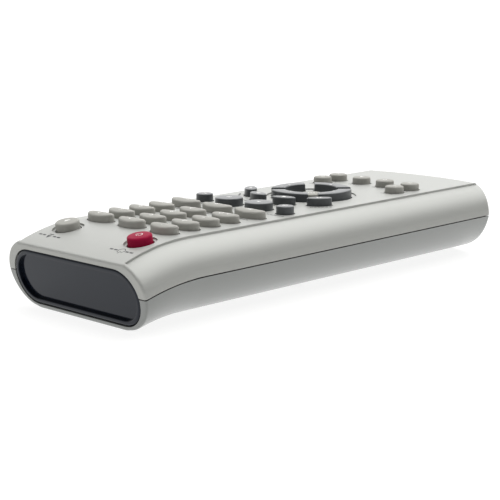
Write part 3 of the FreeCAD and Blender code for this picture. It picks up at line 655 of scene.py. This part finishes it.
class REMOTE_OT_number_keys(bpy.types.Operator):
    """Make the twelve number keys and the three keys below them"""
    bl_idname = "remote.number_keys"
    bl_label = "Number keys"

    def execute(self, context):
        sizes = context.scene.remote_keys
        for line, signs in enumerate(NUMBER_SIGNS):
            for column, sign in enumerate(signs):
                name = "number_key_%d_%d" % (line + 1, column + 1)
                seat, top = light_key(name, sizes, sizes.oval_fall)
                key_text(name, seat, top, sign)
        for column in range(3):
            name = "menu_key_%d" % (column + 1)
            seat, top = light_key(name, sizes, sizes.oval_fall)
            key_mark(name, seat, top, SIGNS[name])
        return {"FINISHED"}


class REMOTE_OT_nose_keys(bpy.types.Operator):
    """Make the power key and the open key on the sloping nose"""
    bl_idname = "remote.nose_keys"
    bl_label = "Nose keys"

    def execute(self, context):
        sizes = context.scene.remote_keys
        for name, finish, slot in (("power_key", "satin_red_keycap", "key_red"),
                                   ("open_key", "matt_grey_keycap", "key_light")):
            seat, top = oval_key(name, sizes.nose_edge, sizes.nose_crown, finish, slot)
            key_mark(name, seat, top, SIGNS[name])
        return {"FINISHED"}


class REMOTE_OT_player_keys(bpy.types.Operator):
    """Make the dark round and oval keys that run the player"""
    bl_idname = "remote.player_keys"
    bl_label = "Player keys"

    def execute(self, context):
        sizes = context.scene.remote_keys
        low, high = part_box("enter_key")
        centre = (low + high) / 2.0
        for name in ("skip_back_key", "play_key", "pause_key", "skip_forward_key",
                     "search_back_key", "stop_key", "step_key", "search_forward_key"):
            turn = 0.0
            if name.startswith(("search", "stop", "step")):
                low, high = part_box(name)
                offset = (low + high) / 2.0 - centre
                turn = math.atan2(offset.x, -offset.y)
            seat, top = oval_key(name, sizes.dark_edge, sizes.dark_crown,
                                 "matt_charcoal_keycap", "key_dark", turn)
            key_mark(name, seat, top, SIGNS[name])
        return {"FINISHED"}


class REMOTE_OT_ring_keys(bpy.types.Operator):
    """Make the four direction keys and the enter key"""
    bl_idname = "remote.ring_keys"
    bl_label = "Direction keys"

    def execute(self, context):
        sizes = context.scene.remote_keys
        low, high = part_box("enter_key")
        centre = (low + high) / 2.0
        orbit, size = 9.0 / sizes.sign_scale, 1.1
        for name, facing in (("up_key", 0.0), ("left_key", math.pi / 2.0),
                             ("down_key", math.pi), ("right_key", -math.pi / 2.0)):
            seat, top = ring_key(name, facing, centre, sizes.dark_edge, sizes.dark_crown,
                                 "matt_charcoal_keycap", "key_dark")
            key_mark(name, seat, top, [triangle(0.0, orbit, size, 90)])
        seat, top = oval_key("enter_key", sizes.dark_edge, sizes.dark_crown,
                             "matt_grey_keycap", "key_light")
        key_mark("enter_key", seat, top, SIGNS["enter_key"])
        return {"FINISHED"}


class REMOTE_OT_tail_keys(bpy.types.Operator):
    """Make the six small round keys near the tail"""
    bl_idname = "remote.tail_keys"
    bl_label = "Tail keys"

    def execute(self, context):
        sizes = context.scene.remote_keys
        for number in range(1, 7):
            name = "tail_key_%d" % number
            seat, top = light_key(name, sizes)
            key_mark(name, seat, top, SIGNS[name])
        return {"FINISHED"}


class REMOTE_OT_deck_prints(bpy.types.Operator):
    """Print a small plain sign on the deck beside each function key"""
    bl_idname = "remote.deck_prints"
    bl_label = "Deck prints"

    def execute(self, context):
        sizes = context.scene.remote_keys
        dash_places, dash_length, dash_height = (2.0, 3.5), 1.1, 0.5
        bm = bmesh.new()
        for name, signs in SIGNS.items():
            if name == "enter_key":
                continue
            seat = seats[name]
            gap, share = sizes.print_gap, 0.8
            if name.startswith("tail"):
                gap, share = sizes.tail_print_gap, 0.55
            elif name in ("open_key", "power_key"):
                gap, share = sizes.nose_print_gap, 1.1
            outlines = [[(u * share, v * share) for u, v in points] for points in signs]
            outlines += [bar(side * u * share, 0.0, dash_length * share, dash_height * share)
                         for side in (-1, 1) for u in dash_places]
            middle = seat.cap[1] + gap

            def place(u, v, height, seat=seat, middle=middle):
                spot = seat.at(u, v + middle, seat.side)
                return Vector((spot.x, spot.y, height))

            def top(u, v, seat=seat, middle=middle):
                spot = seat.at(u, v + middle, seat.side)
                return deck_top(spot.x, spot.y)
            add_mark(bm, outlines, place, top, sizes.ink_height, sizes.ink_root)
        add_piece("deck_prints", bm, "root", "dark_pad_print")
        return {"FINISHED"}


class REMOTE_OT_case(bpy.types.Operator):
    """Finish the two shells, the battery door, the window and the case screws"""
    bl_idname = "remote.case"
    bl_label = "Case"

    def execute(self, context):
        for node, finish in (("upper_shell", "satin_lacquer_on_abs"),
                             ("lower_shell", "moulded_grey_abs"),
                             ("battery_door", "moulded_grey_abs"),
                             ("ir_window", "polished_filter_acrylic"),
                             ("case_screws", "zinc_plated_steel")):
            dress(cad[node], finish)
        return {"FINISHED"}


class REMOTE_OT_electronics(bpy.types.Operator):
    """Finish the board and keypad, and make the parts under the board and the light source"""
    bl_idname = "remote.electronics"
    bl_label = "Electronics"

    def execute(self, context):
        dress(cad["circuit_board"], "phenolic_paper_laminate")
        dress(cad["keypad_sheet"], "moulded_silicone")
        dress(cad["contact_pills"], "carbon_silicone")
        dress(cad["chip_resistors"], "moulded_black_epoxy")
        self.chip()
        self.resonator()
        self.capacitor()
        self.transistor()
        self.light_source()
        return {"FINISHED"}

    def chip(self):
        """A 28-lead small-outline package with gull-wing leads."""
        low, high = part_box("control_chip")
        leads, pitch = 14, 1.27 * MM
        reach, rise, knee_run, root = 1.3 * MM, 0.1 * MM, 0.45 * MM, 0.3 * MM
        lean, corner = 0.12 * MM, 0.15 * MM
        half_lead = Vector((0.21 * MM, 0.0, 0.08 * MM))
        front, back = low.y + reach, high.y - reach
        bm = bmesh.new()
        add_block(bm, Vector((low.x, front, low.z)), Vector((high.x, back, high.z - rise)), corner)
        middle = (low.z + high.z) / 2.0
        for number in range(leads):
            x = (low.x + high.x) / 2.0 + (number - (leads - 1) / 2.0) * pitch
            for side, face, tip in ((-1, front, low.y), (1, back, high.y)):
                knee = face + side * knee_run
                path = [Vector((x, face - side * root, middle)), Vector((x, knee, middle)),
                        Vector((x, knee + side * lean, high.z - corner)),
                        Vector((x, tip, high.z - rise))]
                for start, end in zip(path, path[1:]):
                    add_block(bm, Vector(map(min, start, end)) - half_lead,
                              Vector(map(max, start, end)) + half_lead, 0.0, 1)
        stand_in("so_package", bm, "control_chip", "root", "chip_epoxy",
                 "moulded_black_epoxy", "tinned_copper")

    def resonator(self):
        low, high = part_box("ceramic_resonator")
        rounding = 0.9 * MM
        bm = bmesh.new()
        add_block(bm, low, high, rounding)
        stand_in("dipped_resonator", bm, "ceramic_resonator", "root", "resonator_coating",
                 "dipped_orange_resin")

    def capacitor(self):
        """A lying can with a crimp near its rubber end and a bare top."""
        low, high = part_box("electrolytic_capacitor")
        radius = (high.x - low.x) / 2.0
        length = high.y - low.y
        origin = Vector(((low.x + high.x) / 2.0, low.y, (low.z + high.z) / 2.0))
        turn, crimp, half_crimp, dish = 0.5 * MM, 1.9 * MM, 0.5 * MM, 0.05 * MM
        profile = [(radius - turn, 0.0, 1), (radius, turn, 1), (radius, crimp - half_crimp, 0),
                   (radius - 0.45 * MM, crimp, 0), (radius, crimp + half_crimp, 0),
                   (radius, length - turn, 0), (radius - turn / 2.0, length, 1),
                   (radius - turn, length - dish, 1), (0.3 * MM, length - dish, 1)]
        bm = bmesh.new()
        add_lathe(bm, profile, origin, Vector((0.0, 1.0, 0.0)))
        stand_in("sleeved_capacitor", bm, "electrolytic_capacitor", "root", "capacitor_sleeve",
                 "shrunk_blue_sleeve", "etched_aluminium")

    def transistor(self):
        low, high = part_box("transistor")
        radius = (high.x - low.x) / 2.0
        middle = Vector(((low.x + high.x) / 2.0, 0.0, high.z - radius))
        flat = low.z - middle.z
        turn = math.asin(flat / radius)
        angles = [turn + (math.pi - 2.0 * turn) * i / 32.0 for i in range(33)]
        outline = [Vector((radius * math.cos(angle), 0.0, radius * math.sin(angle)))
                   for angle in angles]
        edge, end_share = 0.15 * MM, 0.94
        bm = bmesh.new()
        add_loft(bm, [[Vector((middle.x, y, middle.z)) + point * share for point in outline]
                      for y, share in ((low.y, end_share), (low.y + edge, 1.0),
                                       (high.y - edge, 1.0), (high.y, end_share))])
        stand_in("to92_transistor", bm, "transistor", "root", "chip_epoxy", "moulded_black_epoxy")

    def light_source(self):
        """A 5 mm infrared source: dome, barrel, collar and two bent leads."""
        low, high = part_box("ir_led")
        radius, collar, tip = 2.5 * MM, 2.9 * MM, 0.02 * MM
        length, collar_length = 8.6 * MM, 1.0 * MM
        origin = Vector((0.0, low.y, low.z + collar))
        steps = 10
        profile = [(radius * math.sin(math.pi / 2.0 * i / steps) + tip,
                    radius * (1.0 - math.cos(math.pi / 2.0 * i / steps)), 0)
                   for i in range(steps)]
        profile += [(radius, radius, 0), (radius, length - collar_length, 0),
                    (collar, length - collar_length, 0), (collar, length, 0),
                    (0.3 * MM, length, 0)]
        bm = bmesh.new()
        add_lathe(bm, profile, origin, Vector((0.0, 1.0, 0.0)))
        half_lead, spacing, bend, root = 0.25 * MM, 2.54 * MM, 0.5 * MM, 0.3 * MM
        back = high.y - half_lead
        z = origin.z
        for side in (-1, 1):
            x = side * spacing / 2.0
            path = [Vector((x, low.y + length - root, z)), Vector((x, back - bend, z))]
            path += [Vector((x, back - bend + bend * math.sin(turn),
                             z + bend * (1.0 - math.cos(turn))))
                     for turn in (math.radians(30), math.radians(60), math.radians(90))]
            path.append(Vector((x, back, high.z)))
            add_tube(bm, path, half_lead * 0.9, 8, 1)
        stand_in("infrared_source", bm, "ir_led", "root", "led_epoxy",
                 "cast_blue_epoxy", "tinned_copper")


class REMOTE_OT_power(bpy.types.Operator):
    """Make the two cells and the coiled contacts"""
    bl_idname = "remote.power"
    bl_label = "Cells and contacts"

    def execute(self, context):
        wire = context.scene.remote_power.wire / 2.0
        self.cell("cell_1", False)
        self.cell("cell_2", True)
        self.contact("flat_contact", "positive_contact")
        for name, node, cell, way in (("coiled_contact", "negative_contact", "cell_2", 1),
                                      ("linked_coil_contact", "linked_contact", "cell_1", -1)):
            low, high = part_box(cell)
            foot = Vector((low + high) / 2.0)
            foot.y = low.y if way > 0 else high.y
            self.contact(name, node, foot, way, wire)
        return {"FINISHED"}

    def cell(self, name, nub_at_tail):
        """A cell with its crimped can, its seal ring, its nub and a shrunk jacket."""
        low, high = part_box(name)
        radius = (high.x - low.x) / 2.0
        length = high.y - low.y
        nub, step = 1.9 * MM, 1.0 * MM
        can = length - step
        x, z = (low.x + high.x) / 2.0, (low.z + high.z) / 2.0
        way = 1.0 if nub_at_tail else -1.0
        origin = Vector((x, low.y if nub_at_tail else high.y, z))
        edge, skin, groove, band = 0.35 * MM, 0.12 * MM, 0.35 * MM, 7.0 * MM
        profile = [(3.2 * MM, 0.1 * MM, 1), (3.4 * MM, 0.0, 1), (radius - 1.0 * MM, 0.0, 1),
                   (radius - edge, 0.05 * MM, 1), (radius - skin, edge, 1),
                   (radius - skin, 0.55 * MM, 1), (radius, 0.65 * MM, 0),
                   (radius, can - band, 0), (radius, can - 0.5 * MM, 2),
                   (radius - 0.3 * MM, can - 0.05 * MM, 2), (radius - 1.1 * MM, can, 0),
                   (radius - 1.3 * MM, can - groove, 1), (nub + 0.5 * MM, can - groove, 1),
                   (nub, can - 0.1 * MM, 1), (nub, length - 0.3 * MM, 1),
                   (nub - 0.3 * MM, length, 1), (0.2 * MM, length, 1)]
        bm = bmesh.new()
        add_lathe(bm, profile, origin, Vector((0.0, way, 0.0)), 64)
        stand_in("dressed_" + name, bm, name, "root", "cell_jacket",
                 "printed_cell_jacket", "nickel_plated_steel", "printed_cell_band")

    def contact(self, name, node, cell_end=None, way=1, wire=0.0):
        """A bent plate with its strip up to the board. On it stands a pad, or a coil that
        reaches the cell's end."""
        low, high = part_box(node)
        board = high.z
        plate_y = low.y if way > 0 else high.y - PLATE_THICKNESS
        plate = [vertex.co for vertex in cad[node].data.vertices
                 if plate_y - SAME_LEVEL < vertex.co.y < plate_y + PLATE_THICKNESS + SAME_LEVEL]
        left = min(point.x for point in plate)
        right = max(point.x for point in plate)
        middle = (left + right) / 2.0
        foot = min(point.z for point in plate)
        head = foot + PLATE_HEIGHT
        bm = bmesh.new()
        add_block(bm, Vector((left, plate_y, foot)),
                  Vector((right, plate_y + PLATE_THICKNESS, min(head, board))), 0.15 * MM)
        half_strip, lap, inset = 1.0 * MM, 1.0 * MM, 0.05 * MM
        if board > head + SAME_LEVEL:
            add_block(bm, Vector((middle - half_strip, plate_y + inset, head - lap)),
                      Vector((middle + half_strip, plate_y + PLATE_THICKNESS - inset, board)),
                      0.1 * MM)
        if cell_end is None:
            rise = 0.1 * MM
            add_lathe(bm, [(1.6 * MM, 0.02 * MM, 0), (1.5 * MM, rise, 0), (0.3 * MM, rise, 0)],
                      Vector((middle, plate_y + PLATE_THICKNESS - rise, (foot + head) / 2.0)),
                      Vector((0.0, 1.0, 0.0)), 24)
        else:
            start = plate_y + PLATE_THICKNESS if way > 0 else plate_y
            self.coil(bm, cell_end, start, way, wire)
        stand_in(name, bm, node, "root", "plated_steel", "nickel_plated_steel")

    def coil(self, bm, cell_end, start, way, wire):
        """A conical coil from the plate at y = start to just before the cell's end. Its first
        and last turns lie flat."""
        gap, turns, flat_turns, steps = 0.1 * MM, 4.5, 1.4, 120
        run = abs(cell_end.y - start) - gap - 2.0 * wire
        wide, narrow = 3.2 * MM - wire, 2.0 * MM - wire
        path = []
        for step in range(steps + 1):
            share = step / steps
            angle = 2.0 * math.pi * turns * share
            rise = wire + run * min(1.0, max(0.0, (share * turns - 0.6) / (turns - flat_turns)))
            radius = wide + (narrow - wide) * share
            path.append(Vector((cell_end.x + radius * math.cos(angle), start + way * rise,
                                cell_end.z + radius * math.sin(angle))))
        add_tube(bm, path, wire, 10)


class REMOTE_OT_stage(bpy.types.Operator):
    """Set up the floor, the studio light and the camera of the photograph"""
    bl_idname = "remote.stage"
    bl_label = "Stage"

    def execute(self, context):
        scene = context.scene
        stage = scene.remote_stage
        scene.view_settings.view_transform = "Standard"
        scene.view_settings.look = "None"
        # Opal acrylic of a light table: matt, even, and lit from below.
        moulded("lit_opal_acrylic", stage.floor_colour, 0.9, 2.0, 0.001, 0.004,
                **{"Emission Color": linear("#FFFFFF"), "Emission Strength": stage.floor_glow})
        self.floor()
        self.sky(scene, stage)
        self.camera(scene, stage)
        return {"FINISHED"}

    def floor(self):
        reach, top, foot = 6000.0 * MM, -0.2 * MM, -10.0 * MM
        bm = bmesh.new()
        add_loft(bm, [[Vector((u, v, height)) for u, v in circle(radius, 96)]
                      for radius, height in ((reach, foot), (reach, top), (10.0 * MM, top))])
        obj = finish_mesh("studio_floor", bm)
        dress(obj, "lit_opal_acrylic")

    def sky(self, scene, stage):
        """Light by direction: bright overhead and low behind the object, dim elsewhere."""
        world = bpy.data.worlds.new("studio_light")
        world.use_nodes = True
        scene.world = world
        tree = world.node_tree
        tree.nodes.clear()
        way = add_node(tree, "ShaderNodeTexCoord").outputs["Generated"]

        def towards(direction, start, full, dark, bright):
            """A level that rises smoothly from dark to bright towards a direction."""
            share = add_node(tree, "ShaderNodeVectorMath", {"operation": "DOT_PRODUCT"},
                             {0: way, 1: direction}).outputs["Value"]
            return add_node(tree, "ShaderNodeMapRange", {"interpolation_type": "SMOOTHSTEP"}, {
                "Value": share, "From Min": start, "From Max": full,
                "To Min": dark, "To Max": bright}).outputs[0]

        behind = towards(BEHIND, 0.2, 0.9, stage.room, stage.backdrop)
        before = towards(BEFORE, 0.3, 0.9, 0.0, stage.fill)
        low_light = add_node(tree, "ShaderNodeMath", {"operation": "ADD"}, {
            0: behind, 1: before}).outputs[0]
        overhead = towards(OVERHEAD, 0.7, 0.94, 0.0, 1.0)
        level = add_node(tree, "ShaderNodeMix", {"data_type": "FLOAT"}, {
            0: overhead, 2: low_light, 3: stage.softbox}).outputs[0]
        glow = add_node(tree, "ShaderNodeBackground", inputs={
            "Color": linear("#FFFFFF"), "Strength": level})
        add_node(tree, "ShaderNodeOutputWorld", inputs={"Surface": glow.outputs[0]})

    def camera(self, scene, stage):
        turn, rise, roll = stage.azimuth, stage.elevation, stage.roll
        back = Vector((math.sin(turn) * math.cos(rise), -math.cos(turn) * math.cos(rise),
                       math.sin(rise)))
        right = Vector((math.cos(turn), math.sin(turn), 0.0))
        up = back.cross(right)
        leaning_right = right * math.cos(roll) + up * math.sin(roll)
        leaning_up = up * math.cos(roll) - right * math.sin(roll)
        data = bpy.data.cameras.new("camera")
        data.sensor_width = SENSOR_WIDTH
        data.lens = stage.lens
        data.clip_start = 0.01
        data.clip_end = 50.0
        obj = bpy.data.objects.new("camera", data)
        scene.collection.objects.link(obj)
        matrix = obj.matrix_world.to_3x3()
        matrix.col[0], matrix.col[1], matrix.col[2] = leaning_right, leaning_up, back
        obj.rotation_euler = matrix.to_euler()
        obj.location = Vector(stage.aim) + back * stage.distance
        scene.camera = obj


class REMOTE_PT_panel(bpy.types.Panel):
    """The steps and settings of the remote control"""
    bl_idname = "REMOTE_PT_panel"
    bl_label = "Remote control"
    bl_space_type = "VIEW_3D"
    bl_region_type = "UI"
    bl_category = "Remote"

    def draw(self, context):
        for group in SETTINGS:
            box = self.layout.box()
            settings = getattr(context.scene, group)
            for name in settings.bl_rna.properties.keys():
                if name not in ("rna_type", "name"):
                    box.prop(settings, name)
        for step in STEPS:
            self.layout.operator("remote." + step)


SETTINGS = {"remote_case": CaseSettings, "remote_keys": KeySettings,
            "remote_power": PowerSettings, "remote_stage": StageSettings}
OPERATORS = (REMOTE_OT_case, REMOTE_OT_number_keys, REMOTE_OT_nose_keys, REMOTE_OT_player_keys,
             REMOTE_OT_ring_keys, REMOTE_OT_tail_keys, REMOTE_OT_deck_prints,
             REMOTE_OT_electronics, REMOTE_OT_power, REMOTE_OT_stage)
STEPS = [operator.bl_idname.split(".")[1] for operator in OPERATORS]
CLASSES = tuple(SETTINGS.values()) + OPERATORS + (REMOTE_PT_panel,)


def register():
    for kind in CLASSES:
        bpy.utils.register_class(kind)
    for name, kind in SETTINGS.items():
        setattr(bpy.types.Scene, name, PointerProperty(type=kind))


def unregister():
    for name in SETTINGS:
        delattr(bpy.types.Scene, name)
    for kind in CLASSES:
        bpy.utils.unregister_class(kind)


def main():
    register()
    make_materials()
    for step in STEPS:
        getattr(bpy.ops.remote, step)()
    bpy.context.view_layer.update()


if __name__ == "__main__":
    main()
